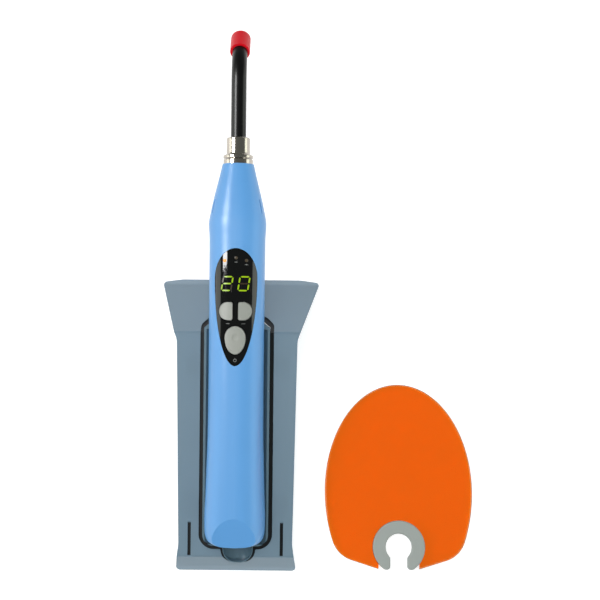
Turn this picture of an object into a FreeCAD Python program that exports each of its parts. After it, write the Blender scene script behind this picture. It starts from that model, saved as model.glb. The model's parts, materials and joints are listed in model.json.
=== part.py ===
import FreeCAD, Part
import math
import os

# Cordless dental curing light: a pen-shaped handpiece with a bent light guide, lying face up in a low
# desk stand, with its loose light shield lying flat beside it. Millimetres.
#
# The handpiece and stand are modelled in the handpiece's own axes, then reclined on the desk:
#   x  across, y  along the handpiece axis from its tail to its head, z  out of the control panel.
# The row frame has the desk at Z = 0 and its origin at the middle of the stand's front foot.

Vec = FreeCAD.Vector

# ---- stand ----
RECLINE = 12.0            # degrees that the stand tips the handpiece's head up
TAIL_HEIGHT = 21.0        # height of the handpiece axis above the desk at its tail
SHEET = 2.8               # thickness of the bent sheet
PANEL_Z = -8.0            # front face of the panel, below the handpiece axis
FRONT_EDGE_Y = -16.75     # where the front flange meets the desk
FRONT_BEND_Y = -7.3       # bend between the front flange and the panel
CREASE_Y = 112.5          # bend between the panel and the rear leg
CREASE_LINE_R = 0.3       # fine line moulded along both bends
REAR_EDGE_Y = 141.1       # where the rear leg meets the desk
FRONT_HALF = 32.5         # half-widths of the sheet, from front edge to rear edge
WAIST_HALF = 30.35
CREASE_HALF = 32.2
REAR_HALF = 44.5
REAR_CORNER_ACROSS = 11.0 # the rear edge is relieved towards its corners
REAR_CORNER_DROP = 1.5

# ---- trough in the stand ----
TROUGH_HALF = 17.5        # outer half-width
TROUGH_CHANNEL_HALF = 17.8  # the channel is part of an ellipse about the handpiece's axis
TROUGH_SKIN_HALF = 19.3   # and so is the trough's underside
TROUGH_RIM_Z = -6.0
TROUGH_FLOOR_Z = -14.9    # inside floor
TROUGH_BOTTOM_Z = -16.7
TROUGH_END_WALL = 0.9
TROUGH_START_Y = -1.2
TROUGH_SHOULDER_Y = 115.0
TROUGH_MOUTH_HALF = 15.3  # the channel narrows to hug the casing at the trough's open end
TROUGH_MOUTH_Z = -14.6
TROUGH_END_Y = 118.6
TROUGH_CORNER_R = 6.0
TONGUE_X = 1.4            # the tongue sits a little right of the middle
TONGUE_HALF = 8.0
TONGUE_END_Y = -9.85
TONGUE_CORNER_R = 6.8
TONGUE_RIM = 0.35
TONGUE_SKIN = 1.3
GASKET_WIDTH = 2.1
GASKET_TONGUE_WIDTH = 1.3
GASKET_RECESS = 0.5
GASKET_THICK = 1.6
GROOVE_X = 24.6           # a groove each side of the trough, inlaid with black rubber
GROOVE_WIDTH = 1.7
GROOVE_TOP_Y = 11.6
GROOVE_RAMP = 3.6         # the groove's top end slopes down over this length
GROOVE_END_Y = -6.7
GROOVE_DEPTH = 2.3
INLAY_RECESS = 0.7
EAR_YS = (20.0, 95.0)     # screw ears under the panel
EAR_SCREW_X = 23.5
EAR_INNER_X = 13.4
EAR_THICK = 2.0
EAR_SCREW_R = 1.1
EAR_HEAD_R = 2.6

# ---- handpiece casing: stations of (y, half-width, half-depth) ----
STATIONS = [
    (0.0, 5.8, 5.4),
    (0.6, 9.4, 8.8),
    (1.5, 12.0, 11.0),
    (3.0, 14.1, 12.8),
    (5.0, 15.2, 13.7),
    (8.0, 15.8, 14.3),
    (13.4, 16.05, 14.6),
    (24.0, 15.65, 14.5),
    (35.6, 15.3, 14.4),
    (61.0, 14.65, 14.2),
    (90.0, 14.5, 14.2),
    (125.0, 14.55, 14.2),
    (161.6, 14.7, 14.3),
    (169.5, 15.1, 14.5),
    (176.0, 14.1, 13.6),
    (188.0, 11.4, 11.2),
    (196.0, 9.4, 9.35),
    (201.0, 8.25, 8.25),
]
WALL = 2.0
TAIL_WALL = 2.5
NOSE_Y = 201.0
FACET_TOP_Y = 16.8        # sloped facet on the front of the tail
FACET_TOP_Z = 14.6
FACET_SLOPE = 25.0
SEAM_WIDTH = 0.3
SEAM_DEPTH = 0.3
VENT_Y = 178.5
VENT_LENGTH = 7.4
VENT_WIDTH = 0.9
VENT_ANGLE = 24.0

# ---- control panel ----
LENS_HALF = 10.95
LENS_WIDEST_Y = 141.0
LENS_UP = 15.3
LENS_DOWN = 45.3
LENS_GAP = 0.12
KEY_GAP = 0.35
KEY_PROUD = 0.5
KEY_TRAVEL = 0.5
CROWN_Z = 14.2            # height of the casing's crown along the buttons
KEY_FLANGE_GROW = 0.8
KEY_FLANGE_THICK = 1.0
PAIR_Y = 123.9            # mode and time buttons
PAIR_HALF_HEIGHT = 4.6
PAIR_INNER_X = 1.5
PAIR_OUTER_X = 8.5
POWER_Y = 110.2
POWER_HALF = 5.35
POWER_UP = 5.9
POWER_DOWN = 8.5
DIMPLE_Y = 110.2
DIMPLE_R = 2.1
DIMPLE_DEPTH = 0.35
LAMPS = [(-5.8, 150.0), (0.2, 151.4), (5.5, 150.1)]
LAMP_R = 0.9

# ---- circuit board ----
BOARD_Z = 1.0
BOARD_THICK = 1.6
BOARD_HALF = 11.0
BOARD_START_Y = 98.0
BOARD_END_Y = 160.0
BOARD_SCREWS = [(-8.4, 156.0), (8.4, 156.0), (-8.2, 101.5), (8.2, 101.5)]
SWITCH_SIDE = 4.5
SWITCH_HEIGHT = 2.0
PLUNGER_R = 1.2
PLUNGER_HEIGHT = 0.8

# ---- battery and tail ----
CELL_R = 9.2
CELL_START_Y = 20.5
CELL_LENGTH = 65.0
CELL_Z = -0.8
CRADLE_WALL = 1.2
SOCKET_Z = -1.0
SOCKET_R = 4.3
SOCKET_NOSE_R = 3.6
SOCKET_BORE_R = 2.85
SOCKET_KEYING = 8.0       # the socket is turned this far in its seat
SOCKET_DEPTH = 9.0
SOCKET_LENGTH = 10.5
CASING_SCREWS = [(-8.2, 14.8), (8.2, 14.8), (-9.2, 93.0), (9.2, 93.0), (-8.6, 164.2), (8.6, 164.2)]
BOSS_R = 2.5
PILOT_R = 1.0
THROUGH_R = 1.35
SCREW_HEAD_R = 2.1
SCREW_HEAD_Z = -6.0       # underside of the counterbore that the head seats in

# ---- light engine in the nose ----
SINK_START_Y = 168.0
SINK_END_Y = 184.0
LED_BOARD_THICK = 1.2
GUIDE_ENTRY_Y = 192.0     # inner end of the light guide
BARREL_R = 6.0            # head ring's barrel
BARREL_BORE_R = 5.0
RING_R = 7.85
RING_END_Y = 203.5
SNAP_Y = 196.6            # groove for the retaining ring
SNAP_GROOVE_R = 5.7
SNAP_WIDTH = 1.6

# ---- light guide ----
FERRULE_START_Y = 204.0
FERRULE_LIP_R = 7.9
FERRULE_FLARE_R = 1.35
COLLAR_R = 6.2
COLLAR_START_Y = 208.0
COLLAR_END_Y = 215.0
SPIGOT_R = 4.93
SHEATH_R = 4.0
CORE_R = 3.4
BEND_START_Y = 244.2
BEND_R = 26.0
BEND_ANGLE = 43.0
TIP_LENGTH = 11.3
CAP_R = 5.3
CAP_BORE_R = 4.07
CAP_LENGTH = 13.3
CAP_DEPTH = 11.9

# ---- light shield, lying on the desk ----
SHIELD_X = 88.0
SHIELD_HALF = 40.2
SHIELD_TOP_Y = 99.9
SHIELD_WIDEST_Y = 41.7
SHIELD_SIDE_R = 87.5      # the sides are long arcs below the widest line
SHIELD_CORNER_R = 15.5
SHIELD_BASE_Y = -3.6      # where the two lower edges would meet
SHIELD_BASE_SLOPE = 17.4
SHIELD_THICK = 3.0
SHIELD_EDGE = 0.8         # chamfer round the plate
CLIP_THICK = 6.0
CLIP_R = 14.1
CLIP_BORE_R = 7.15
CLIP_WEB_R = 11.0
CLIP_Y = 11.5
CLIP_LIP_Y = -0.5
CLIP_LIP_R = 1.9
CLIP_NECK_R = 2.5
CLIP_RIM_R = 0.7
CLIP_MOUTH = 9.4


# ---------------------------------------------------------------- helpers
def on_xy(a, b):
    return Vec(a, b, 0)


def on_yz(a, b):
    return Vec(0, a, b)


def rounded_wire(corners, plane=on_xy):
    """Closed wire through corners (a, b, radius), each corner rounded by a tangent arc."""
    edges = []
    first = None
    last = None
    count = len(corners)
    for i in range(count):
        corner = Vec(corners[i][0], corners[i][1], 0)
        radius = corners[i][2]
        before = Vec(corners[i - 1][0], corners[i - 1][1], 0)
        after = Vec(corners[(i + 1) % count][0], corners[(i + 1) % count][1], 0)
        to_before = (before - corner).normalize()
        to_after = (after - corner).normalize()
        half = to_before.getAngle(to_after) / 2
        if radius > 0:
            reach = radius / math.tan(half)
            start = corner + to_before * reach
            end = corner + to_after * reach
            inward = (to_before + to_after).normalize()
            middle = corner + inward * (radius / math.sin(half) - radius)
        else:
            start = end = corner
        if last is not None and last.distanceToPoint(start) > 1e-6:
            edges.append(Part.LineSegment(plane(last.x, last.y), plane(start.x, start.y)).toShape())
        if radius > 0:
            arc = Part.Arc(plane(start.x, start.y), plane(middle.x, middle.y), plane(end.x, end.y))
            edges.append(arc.toShape())
        if first is None:
            first = start
        last = end
    if last.distanceToPoint(first) > 1e-6:
        edges.append(Part.LineSegment(plane(last.x, last.y), plane(first.x, first.y)).toShape())
    return Part.Wire(edges)


def prism(wire, z0, z1):
    """Solid standing on a wire in the xy plane, from z0 to z1."""
    solid = Part.Face(wire).extrude(Vec(0, 0, z1 - z0))
    solid.translate(Vec(0, 0, z0))
    return solid


def block(x0, x1, y0, y1, z0, z1):
    return Part.makeBox(x1 - x0, y1 - y0, z1 - z0, Vec(x0, y0, z0))


def rod_y(radius, y0, y1, x=0.0, z=0.0):
    return Part.makeCylinder(radius, y1 - y0, Vec(x, y0, z), Vec(0, 1, 0))


def rod_z(radius, z0, z1, x=0.0, y=0.0):
    return Part.makeCylinder(radius, z1 - z0, Vec(x, y, z0), Vec(0, 0, 1))


def turned(profile):
    """Solid turned about the y axis from corners (y, radius, corner radius)."""
    corners = [(radius, y, rounding) for y, radius, rounding in profile]
    face = Part.Face(rounded_wire(corners))
    return face.revolve(Vec(0, 0, 0), Vec(0, 1, 0), 360)


def fused(shapes):
    solid = shapes[0]
    if len(shapes) > 1:
        solid = shapes[0].multiFuse(shapes[1:])
    return solid.removeSplitter()


def mirrored_x(shape):
    return shape.mirror(Vec(0, 0, 0), Vec(1, 0, 0))


def mirrored_corners(right_side):
    """Corners for a closed outline that is symmetric about x = 0, from its right side, bottom to top."""
    left_side = [(-x, y, r) for x, y, r in reversed(right_side)]
    return right_side + left_side


def sloped_line_offset(points, distance):
    """Polyline moved sideways by distance, its corners mitred."""
    normals = []
    for (a0, b0), (a1, b1) in zip(points, points[1:]):
        length = math.hypot(a1 - a0, b1 - b0)
        normals.append(((b1 - b0) / length, -(a1 - a0) / length))
    moved = []
    for i, (a, b) in enumerate(points):
        n0 = normals[max(i - 1, 0)]
        n1 = normals[min(i, len(normals) - 1)]
        scale = distance / (1 + n0[0] * n1[0] + n0[1] * n1[1])
        moved.append((a + (n0[0] + n1[0]) * scale, b + (n0[1] + n1[1]) * scale))
    return moved


# ---------------------------------------------------------------- casing surfaces
def casing_size(y):
    """Half-width and half-depth of the casing at y: a smooth curve through the stations that never
    overshoots them, continued straight past the nose."""
    ys = [station[0] for station in STATIONS]
    sizes = []
    for column in (1, 2):
        values = [station[column] for station in STATIONS]
        steps = [(v1 - v0) / (y1 - y0) for v0, v1, y0, y1 in zip(values, values[1:], ys, ys[1:])]
        slopes = [steps[0]]
        for before, after in zip(steps, steps[1:]):
            slopes.append(0.0 if before * after <= 0 else 2 * before * after / (before + after))
        slopes.append(steps[-1])
        if y >= ys[-1]:
            sizes.append(values[-1] + slopes[-1] * (y - ys[-1]))
            continue
        i = max(k for k in range(len(ys) - 1) if ys[k] <= y)
        span = ys[i + 1] - ys[i]
        t = (y - ys[i]) / span
        start = (1 + 2 * t) * (1 - t) ** 2 * values[i] + t * (1 - t) ** 2 * span * slopes[i]
        end = t * t * (3 - 2 * t) * values[i + 1] + t * t * (t - 1) * span * slopes[i + 1]
        sizes.append(start + end)
    return sizes


def casing_loft(inset, start_y=0.0, end_y=NOSE_Y):
    """Solid inside the casing's outer surface moved in by inset, from start_y to end_y."""
    cuts = [start_y]
    while cuts[-1] < end_y:
        y = cuts[-1]
        step = 0.75 if y < 3 else 1.5 if y < 9 else 3.5 if y > 158 else 8.0
        cuts.append(y + step)
    cuts[-1] = end_y
    if end_y - cuts[-2] < 1.0:
        cuts.pop(-2)
    wires = []
    for y in cuts:
        half_width, half_depth = casing_size(y)
        wires.append(ellipse_wire(y, half_width - inset, half_depth - inset))
    return Part.makeLoft(wires, True, False)


def ellipse_wire(y, half_width, half_depth):
    if half_width - half_depth < 1e-4:
        circle = Part.Circle(Vec(0, y, 0), Vec(0, 1, 0), half_width)
        return Part.Wire([circle.toShape()])
    ellipse = Part.Ellipse(Vec(half_width, y, 0), Vec(0, y, half_depth), Vec(0, y, 0))
    return Part.Wire([ellipse.toShape()])


def facet_cutter(inset):
    """Block in front of the sloped facet plane of the tail, moved in by inset."""
    cutter = block(-30, 30, -60, 0, 0, 40)
    cutter.rotate(Vec(0, 0, 0), Vec(1, 0, 0), FACET_SLOPE)
    slope = math.radians(FACET_SLOPE)
    cutter.translate(Vec(0, FACET_TOP_Y + inset * math.sin(slope), FACET_TOP_Z - inset * math.cos(slope)))
    return cutter


def front_half():
    return block(-40, 40, -20, 230, 0, 40)


def rear_half():
    return block(-40, 40, -20, 230, -40, 0)


# ---------------------------------------------------------------- control panel outlines
def ovoid_wire(half_width, widest_y, up, down, grow=0.0):
    """Egg outline: half an ellipse above widest_y and a longer half ellipse below it."""
    side = half_width + grow
    centre = Vec(0, widest_y, 0)
    upper = Part.Ellipse(Vec(0, widest_y + up + grow, 0), Vec(-side, widest_y, 0), centre)
    lower = Part.Ellipse(Vec(0, widest_y - down - grow, 0), Vec(side, widest_y, 0), centre)
    quarter = math.pi / 2
    return Part.Wire([upper.toShape(-quarter, quarter), lower.toShape(-quarter, quarter)])


def pair_wire(side, grow=0.0):
    """D outline of the mode button (side -1) or the time button (side +1)."""
    inner = side * (PAIR_INNER_X - grow)
    outer = side * (PAIR_OUTER_X + grow)
    high = PAIR_HALF_HEIGHT + grow
    inner_r = 1.0 + grow
    outer_r = high - 0.05
    return rounded_wire([
        (inner, PAIR_Y - high, inner_r),
        (outer, PAIR_Y - high, outer_r),
        (outer, PAIR_Y + high, outer_r),
        (inner, PAIR_Y + high, inner_r),
    ])


def key_wires(grow):
    return {
        "mode_button": pair_wire(-1, grow),
        "time_button": pair_wire(1, grow),
        "power_button": ovoid_wire(POWER_HALF, POWER_Y, POWER_UP, POWER_DOWN, grow),
    }


def lens_wire(grow=0.0):
    return ovoid_wire(LENS_HALF, LENS_WIDEST_Y, LENS_UP, LENS_DOWN, grow)


# ---------------------------------------------------------------- handpiece
def make_casings(outer, inner):
    cavity = inner.cut(facet_cutter(WALL))
    front_posts = []
    for x, y in CASING_SCREWS:
        post = rod_z(BOSS_R, 0, 30, x, y)
        front_posts.append(post.cut(rod_z(PILOT_R, -1, 8, x, y)))
    for x, y in BOARD_SCREWS:
        post = rod_z(1.7, BOARD_Z + BOARD_THICK, 30, x, y)
        front_posts.append(post.cut(rod_z(0.7, 0, 6.5, x, y)))
    rear_posts = [rod_z(BOSS_R, -30, 0, x, y) for x, y in CASING_SCREWS]
    front_cavity = cavity.common(front_half()).cut(front_posts)
    rear_cavity = cavity.common(rear_half()).cut(rear_posts)

    seam = block(-40, 40, -20, 230, -SEAM_WIDTH / 2, SEAM_WIDTH / 2)
    seam = seam.cut(casing_loft(SEAM_DEPTH, 0.0, NOSE_Y + 2))
    shell = outer.cut(facet_cutter(0.0)).cut(seam)

    front = shell.common(front_half()).cut(front_cavity)
    front = front.cut(prism(lens_wire(LENS_GAP), 0, 30))
    front = front.cut(rod_y(SOCKET_NOSE_R, -5, 5, 0, SOCKET_Z))
    for side in (-1, 1):
        slit = block(
            0, 30, VENT_Y - VENT_LENGTH / 2, VENT_Y + VENT_LENGTH / 2, -VENT_WIDTH / 2, VENT_WIDTH / 2)
        slit.rotate(Vec(0, 0, 0), Vec(0, 1, 0), -VENT_ANGLE)
        if side < 0:
            slit = mirrored_x(slit)
        front = front.cut(slit)

    rear = shell.common(rear_half()).cut(rear_cavity)
    rear = rear.cut(rod_y(SOCKET_NOSE_R, -5, 5, 0, SOCKET_Z))
    for x, y in CASING_SCREWS:
        rear = rear.cut(rod_z(THROUGH_R, -30, 1, x, y))
        rear = rear.cut(rod_z(SCREW_HEAD_R + 0.3, -30, SCREW_HEAD_Z, x, y))
    return front, rear


def make_lens(outer, inner):
    lens = outer.common(prism(lens_wire(), 4, 30)).cut(inner)
    for wire in key_wires(KEY_GAP).values():
        lens = lens.cut(prism(wire, 0, 30))
    return lens


def make_keys(outer):
    """The three buttons: a crowned cap that follows the panel, on a flange that keeps it in."""
    crown = outer.copy()
    crown.translate(Vec(0, 0, KEY_PROUD))
    flange_z = key_bottom_z()
    flanges = key_wires(KEY_FLANGE_GROW)
    keys = {}
    for name, wire in key_wires(0.0).items():
        cap = crown.common(prism(wire, flange_z, 30))
        flange = prism(flanges[name], flange_z, flange_z + KEY_FLANGE_THICK)
        keys[name] = fused([cap, flange])
    sphere_r = (DIMPLE_R ** 2 + DIMPLE_DEPTH ** 2) / (2 * DIMPLE_DEPTH)
    top_z = CROWN_Z + KEY_PROUD
    dimple = Part.makeSphere(sphere_r, Vec(0, DIMPLE_Y, top_z + sphere_r - DIMPLE_DEPTH))
    keys["power_button"] = keys["power_button"].cut(dimple)
    return keys


def key_bottom_z():
    """Underside of the buttons: their travel plus a gap above the switch plungers."""
    plunger_top = BOARD_Z + BOARD_THICK + SWITCH_HEIGHT + PLUNGER_HEIGHT
    return plunger_top + KEY_TRAVEL + 0.3


def make_board_parts():
    top = BOARD_Z + BOARD_THICK
    board = prism(rounded_wire(mirrored_corners([
        (BOARD_HALF - 2, BOARD_START_Y, 1.0),
        (BOARD_HALF, BOARD_START_Y + 4, 1.0),
        (BOARD_HALF, BOARD_END_Y - 4, 1.0),
        (BOARD_HALF - 1.2, BOARD_END_Y, 1.0),
    ])), BOARD_Z, top)
    screws = []
    for x, y in BOARD_SCREWS:
        board = board.cut(rod_z(0.9, -5, 10, x, y))
        shank = rod_z(0.7, BOARD_Z, 6.0, x, y)
        head = rod_z(1.5, BOARD_Z - 1.0, BOARD_Z, x, y)
        slot = block(x - 1.2, x + 1.2, y - 0.2, y + 0.2, BOARD_Z - 1.0, BOARD_Z - 0.6)
        screws.append(fused([shank, head]).cut(slot))

    switches = []
    centres = [(-5.0, PAIR_Y), (5.0, PAIR_Y), (0.0, POWER_Y)]
    half = SWITCH_SIDE / 2
    for x, y in centres:
        body = block(x - half, x + half, y - half, y + half, top, top + SWITCH_HEIGHT)
        plunger = rod_z(PLUNGER_R, top + SWITCH_HEIGHT, top + SWITCH_HEIGHT + PLUNGER_HEIGHT, x, y)
        switches.append(fused([body, plunger]))

    display = prism(rounded_wire([
        (-9.2, 132.4, 0.4), (9.2, 132.4, 0.4), (9.2, 144.4, 0.4), (-9.2, 144.4, 0.4),
    ]), top, 8.0)

    lamps = []
    for x, y in LAMPS:
        base = block(x - 1.3, x + 1.3, y - 1.3, y + 1.3, top, top + 1.2)
        pipe = rod_z(LAMP_R, top + 1.2, 9.8, x, y)
        dome = Part.makeSphere(LAMP_R, Vec(x, y, 9.8))
        lamps.append(fused([base, pipe, dome]))

    under = BOARD_Z
    chips = [
        block(-4.0, 4.0, 124.0, 132.0, under - 1.2, under),
        block(-8.0, -4.6, 112.0, 115.4, under - 1.0, under),
        block(4.2, 8.6, 108.0, 113.0, under - 1.4, under),
        block(-3.0, 3.0, 104.0, 110.0, under - 3.2, under),
        rod_z(2.5, under - 5.5, under, 6.8, 119.5),
        rod_z(2.0, under - 4.5, under, -6.6, 120.5),
    ]
    for i in range(6):
        y = 136.0 + 2.2 * (i % 3)
        x = 6.2 if i < 3 else -7.4
        chips.append(block(x, x + 1.6, y, y + 0.9, under - 0.6, under))

    buzzer = rod_z(4.5, under - 3.2, under, 0, 150.5).cut(rod_z(0.7, under - 4, under - 1.5, 0, 150.5))
    return {
        "circuit_board": board,
        "board_screws": Part.makeCompound(screws),
        "tact_switches": Part.makeCompound(switches),
        "digit_display": display,
        "status_leds": Part.makeCompound(lamps),
        "board_components": Part.makeCompound(chips),
        "buzzer": buzzer,
    }


def make_power_parts(inner):
    end_y = CELL_START_Y + CELL_LENGTH
    can = rod_y(CELL_R, CELL_START_Y, end_y - 1.2, 0, CELL_Z)
    button = rod_y(2.8, end_y - 1.2, end_y, 0, CELL_Z)
    cell = fused([can, button])

    outer_r = CELL_R + CRADLE_WALL
    cradle = rod_y(outer_r, CELL_START_Y + 3, end_y - 4, 0, CELL_Z)
    for rib_y in (CELL_START_Y + 8, CELL_START_Y + CELL_LENGTH / 2, end_y - 10):
        rib = block(-20, 20, rib_y, rib_y + 1.6, -20, CELL_Z)
        cradle = cradle.fuse(inner.common(rib))
    cradle = cradle.common(block(-20, 20, 0, 120, -20, CELL_Z))
    cradle = cradle.cut(rod_y(CELL_R, 0, 120, 0, CELL_Z)).removeSplitter()

    plate_gap = 0.5
    negative = block(-4.5, 4.5, CELL_START_Y - 2.6 - plate_gap, CELL_START_Y - 2.0 - plate_gap, -8, 6)
    spring_r = 0.35
    turns = []
    for i in range(3):
        ring = Part.makeTorus(3.6 - 0.6 * i, spring_r, Vec(0, 0, 0), Vec(0, 1, 0))
        ring.translate(Vec(0, CELL_START_Y - 2.0 - plate_gap + spring_r + 0.72 * i, CELL_Z))
        turns.append(ring)
    positive = block(-4.5, 4.5, end_y, end_y + 0.6, -8, 6)
    contacts = Part.makeCompound([fused([negative] + turns[:1]), turns[1], turns[2], positive])

    nose = rod_y(SOCKET_NOSE_R, 0.4, 3.0, 0, SOCKET_Z)
    barrel = rod_y(SOCKET_R, 3.0, SOCKET_LENGTH, 0, SOCKET_Z)
    socket = fused([nose, barrel]).cut(rod_y(SOCKET_BORE_R, 0.0, 0.4 + SOCKET_DEPTH, 0, SOCKET_Z))
    socket.rotate(Vec(0, 0, SOCKET_Z), Vec(0, 1, 0), SOCKET_KEYING)
    return {
        "battery_cell": cell,
        "battery_cradle": cradle,
        "battery_contacts": contacts,
        "charging_socket": socket,
    }


def make_casing_screws():
    screws = []
    for x, y in CASING_SCREWS:
        shank = rod_z(PILOT_R, SCREW_HEAD_Z, 6.5, x, y)
        head = rod_z(SCREW_HEAD_R, SCREW_HEAD_Z - 1.6, SCREW_HEAD_Z, x, y)
        recess = rod_z(0.9, SCREW_HEAD_Z - 1.6, SCREW_HEAD_Z - 0.7, x, y)
        screws.append(fused([shank, head]).cut(recess))
    return Part.makeCompound(screws)


def make_light_engine(inner):
    sink = inner.common(block(-20, 20, SINK_START_Y, SINK_END_Y, -20, 20))
    for i in range(4):
        y = SINK_START_Y + 2.0 + 3.0 * i
        groove = block(-20, 20, y, y + 1.4, -20, 20).cut(rod_y(6.5, y - 1, y + 3))
        sink = sink.cut(groove)
    led_face = SINK_END_Y + LED_BOARD_THICK
    led_board = rod_y(6.4, SINK_END_Y, led_face)
    chip = block(-1.6, 1.6, led_face, led_face + 0.9, -1.6, 1.6)
    dome = Part.makeSphere(1.4, Vec(0, led_face + 0.9, 0), Vec(0, 1, 0), 0, 90, 360)
    emitter = fused([chip, dome])
    cup_end = GUIDE_ENTRY_Y - 2.0
    cup = rod_y(BARREL_R, led_face, cup_end)
    cone = Part.makeCone(2.6, 5.0, cup_end - led_face, Vec(0, led_face, 0), Vec(0, 1, 0))
    cup = cup.cut(cone)
    lens_start = cup_end - 1.4
    lens = rod_y(4.2, lens_start, lens_start + 1.2)
    dome = Part.makeSphere(6.0, Vec(0, lens_start + 1.2 - 4.6, 0))
    cap = dome.common(rod_y(3.8, lens_start + 1.2, cup_end + 2))
    lens = fused([lens, cap])

    ring = turned([
        (cup_end, BARREL_BORE_R, 0),
        (cup_end, BARREL_R, 0),
        (NOSE_Y, BARREL_R, 0),
        (NOSE_Y, RING_R, 0),
        (RING_END_Y, RING_R, 0.4),
        (RING_END_Y, BARREL_BORE_R, 0),
    ])
    ring = ring.cut(rod_y(SNAP_GROOVE_R, SNAP_Y, SNAP_Y + SNAP_WIDTH))
    snap = rod_y(SNAP_GROOVE_R - 0.06, SNAP_Y + 0.05, SNAP_Y + SNAP_WIDTH - 0.05)
    snap = snap.cut(rod_y(SPIGOT_R + 0.06, SNAP_Y - 1, SNAP_Y + 3))
    snap = snap.cut(block(-0.8, 0.8, SNAP_Y - 1, SNAP_Y + 3, 0, 8))
    return {
        "heat_sink": sink,
        "led_board": led_board,
        "led_emitter": emitter,
        "reflector_cup": cup,
        "collimator_lens": lens,
        "head_ring": ring,
        "retaining_ring": snap,
    }


def lead(points, radius):
    """Insulated wire through points, its corners rounded by arcs as large as its runs allow."""
    vectors = [Vec(*p) for p in points]
    edges = []
    last = vectors[0]
    for before, corner, after in zip(vectors, vectors[1:], vectors[2:]):
        reach = 0.45 * min((corner - before).Length, (after - corner).Length)
        start = corner + (before - corner).normalize() * reach
        end = corner + (after - corner).normalize() * reach
        chord = (start + end) * 0.5
        turn = (corner - before).getAngle(after - corner)
        arc_r = reach / math.tan(turn / 2)
        to_centre = (chord - corner).normalize()
        middle = corner + to_centre * (arc_r / math.cos(turn / 2) - arc_r)
        edges.append(Part.LineSegment(last, start).toShape())
        edges.append(Part.Arc(start, middle, end).toShape())
        last = end
    edges.append(Part.LineSegment(last, vectors[-1]).toShape())
    path = Part.Wire(edges)
    circle = Part.Circle(vectors[0], vectors[1] - vectors[0], radius)
    return path.makePipeShell([Part.Wire([circle.toShape()])], True, False)


def make_leads():
    """Leads from the cell to the board, and from the board to the light engine."""
    wires = []
    for side in (-1, 1):
        wires.append(lead([
            (side * 3.4, CELL_START_Y + CELL_LENGTH + 0.6, 4.0),
            (side * 3.4, 92.0, 4.0),
            (side * 2.6, 95.5, -1.6),
            (side * 2.6, 102.0, -1.6),
        ], 0.55))
        wires.append(lead([
            (side * 1.8, BOARD_END_Y - 3.0, BOARD_Z - 0.6),
            (side * 1.8, 163.0, BOARD_Z - 0.6),
            (side * 1.8, 165.5, -1.8),
            (side * 1.8, SINK_START_Y, -1.8),
        ], 0.55))
    return Part.makeCompound(wires)


# ---------------------------------------------------------------- light guide
def bent_rod(radius, start_y, tip_length):
    """Round rod: straight from start_y, bent away from the panel side, then a straight tip."""
    angle = math.radians(BEND_ANGLE)
    centre = Vec(0, BEND_START_Y, -BEND_R)
    disc = Part.Face(Part.Wire([Part.Circle(Vec(0, BEND_START_Y, 0), Vec(0, 1, 0), radius).toShape()]))
    bend = disc.revolve(centre, Vec(1, 0, 0), -BEND_ANGLE)
    tip = Part.makeCylinder(radius, tip_length, bend_end(), tip_direction())
    straight = rod_y(radius, start_y, BEND_START_Y)
    assert abs(bend.Volume - math.pi * radius ** 2 * BEND_R * angle) < 1.0
    return fused([straight, bend, tip])


def bend_end():
    angle = math.radians(BEND_ANGLE)
    return Vec(0, BEND_START_Y + BEND_R * math.sin(angle), -BEND_R * (1 - math.cos(angle)))


def tip_direction():
    angle = math.radians(BEND_ANGLE)
    return Vec(0, math.cos(angle), -math.sin(angle))


def make_guide():
    core = bent_rod(CORE_R, GUIDE_ENTRY_Y, TIP_LENGTH)
    sheath = bent_rod(SHEATH_R, COLLAR_END_Y - 3.0, TIP_LENGTH).cut(core)
    ferrule = turned([
        (GUIDE_ENTRY_Y, CORE_R, 0),
        (GUIDE_ENTRY_Y, SPIGOT_R, 0),
        (FERRULE_START_Y, SPIGOT_R, 0),
        (FERRULE_START_Y, FERRULE_LIP_R, 0.3),
        (FERRULE_START_Y + 1.6, FERRULE_LIP_R, 0.5),
        (FERRULE_START_Y + 1.9, COLLAR_R + 0.05, FERRULE_FLARE_R),
        (COLLAR_START_Y, COLLAR_R + 0.05, 0),
        (COLLAR_START_Y, COLLAR_R, 0),
        (COLLAR_END_Y, COLLAR_R, 0.8),
        (COLLAR_END_Y, CORE_R, 0),
    ])
    ferrule = ferrule.cut(rod_y(SHEATH_R, COLLAR_END_Y - 3.0, COLLAR_END_Y + 1))
    axis = tip_direction()
    cap_end = bend_end() + axis * (TIP_LENGTH + 0.3 + CAP_LENGTH - CAP_DEPTH)
    cap = Part.makeCylinder(CAP_R, CAP_LENGTH, cap_end - axis * CAP_LENGTH, axis)
    end_edges = []
    for edge in cap.Edges:
        if abs(edge.Length - 2 * math.pi * CAP_R) < 0.01:
            at_end = edge.CenterOfMass.distanceToPoint(cap_end) < 0.01
            if at_end:
                end_edges.append(edge)
    cap = cap.makeFillet(1.8, end_edges)
    bore = Part.makeCylinder(CAP_BORE_R, CAP_DEPTH + 5, cap_end - axis * (CAP_LENGTH + 5), axis)
    return {
        "guide_rod": core,
        "guide_sheath": sheath,
        "guide_ferrule": ferrule,
        "tip_cap": cap.cut(bore),
    }


# ---------------------------------------------------------------- stand
def to_desk(y, z):
    """Height above the desk of a point in the handpiece's axes."""
    tilt = math.radians(RECLINE)
    return TAIL_HEIGHT + y * math.sin(tilt) + z * math.cos(tilt)


def desk_z(y):
    """The desk's z, in the handpiece's axes, at y."""
    tilt = math.radians(RECLINE)
    return -(TAIL_HEIGHT + y * math.sin(tilt)) / math.cos(tilt)


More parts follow.
